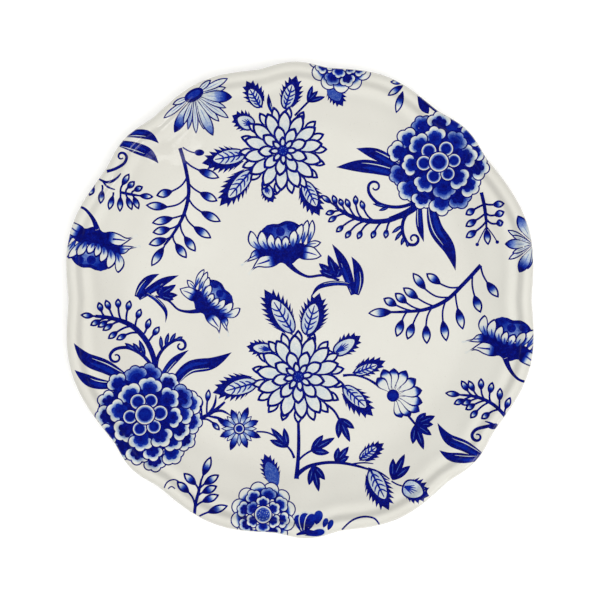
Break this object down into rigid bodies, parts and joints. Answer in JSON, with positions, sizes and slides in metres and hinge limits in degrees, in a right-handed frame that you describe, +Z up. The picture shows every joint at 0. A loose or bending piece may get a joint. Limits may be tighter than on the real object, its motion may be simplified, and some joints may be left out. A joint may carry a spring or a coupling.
{
  "type": "dinner plate",
  "caption": "Round china dinner plate with a scalloped rolled rim, a foot ring, a clear glaze and a cobalt blue print of flowers, leaves and buds. It holds a meal.",
  "frame": {"origin": "centre of the standing plane of the foot ring", "axes": "+Z up through the face, +X to the eater's right, +Y away from the eater"},
  "size_m": [0.2604, 0.2654, 0.0237],
  "materials": {
    "bare_porcelain": "fired unglazed porcelain, matt and slightly rough, warm white",
    "clear_glaze": "clear high-gloss glaze over warm white porcelain",
    "cobalt_print": "in-glaze cobalt print, glossy, deep blue with paler shaded petals"
  },
  "bodies": {
    "root": {"face_glaze": "clear_glaze", "foot_recess_glaze": "clear_glaze", "porcelain_body": "bare_porcelain", "print_bottom_flower": "cobalt_print", "print_bottom_left_sprig": "cobalt_print", "print_bottom_loop": "cobalt_print", "print_bottom_rose": "cobalt_print", "print_half_aster": "cobalt_print", "print_left_edge_lotus": "cobalt_print", "print_left_edge_sprig": "cobalt_print", "print_left_lotus": "cobalt_print", "print_left_peony": "cobalt_print", "print_low_dahlia": "cobalt_print", "print_middle_lotus": "cobalt_print", "print_right_bud_sprig": "cobalt_print", "print_right_edge_aster": "cobalt_print", "print_right_edge_lotus": "cobalt_print", "print_right_edge_sprig": "cobalt_print", "print_right_low_blades": "cobalt_print", "print_right_peony": "cobalt_print", "print_star_flower": "cobalt_print", "print_top_buds": "cobalt_print", "print_top_left_aster": "cobalt_print", "print_top_left_blades": "cobalt_print", "print_top_rose": "cobalt_print", "print_upper_bud_sprig": "cobalt_print", "print_upper_dahlia": "cobalt_print"}
  },
  "joints": []
}
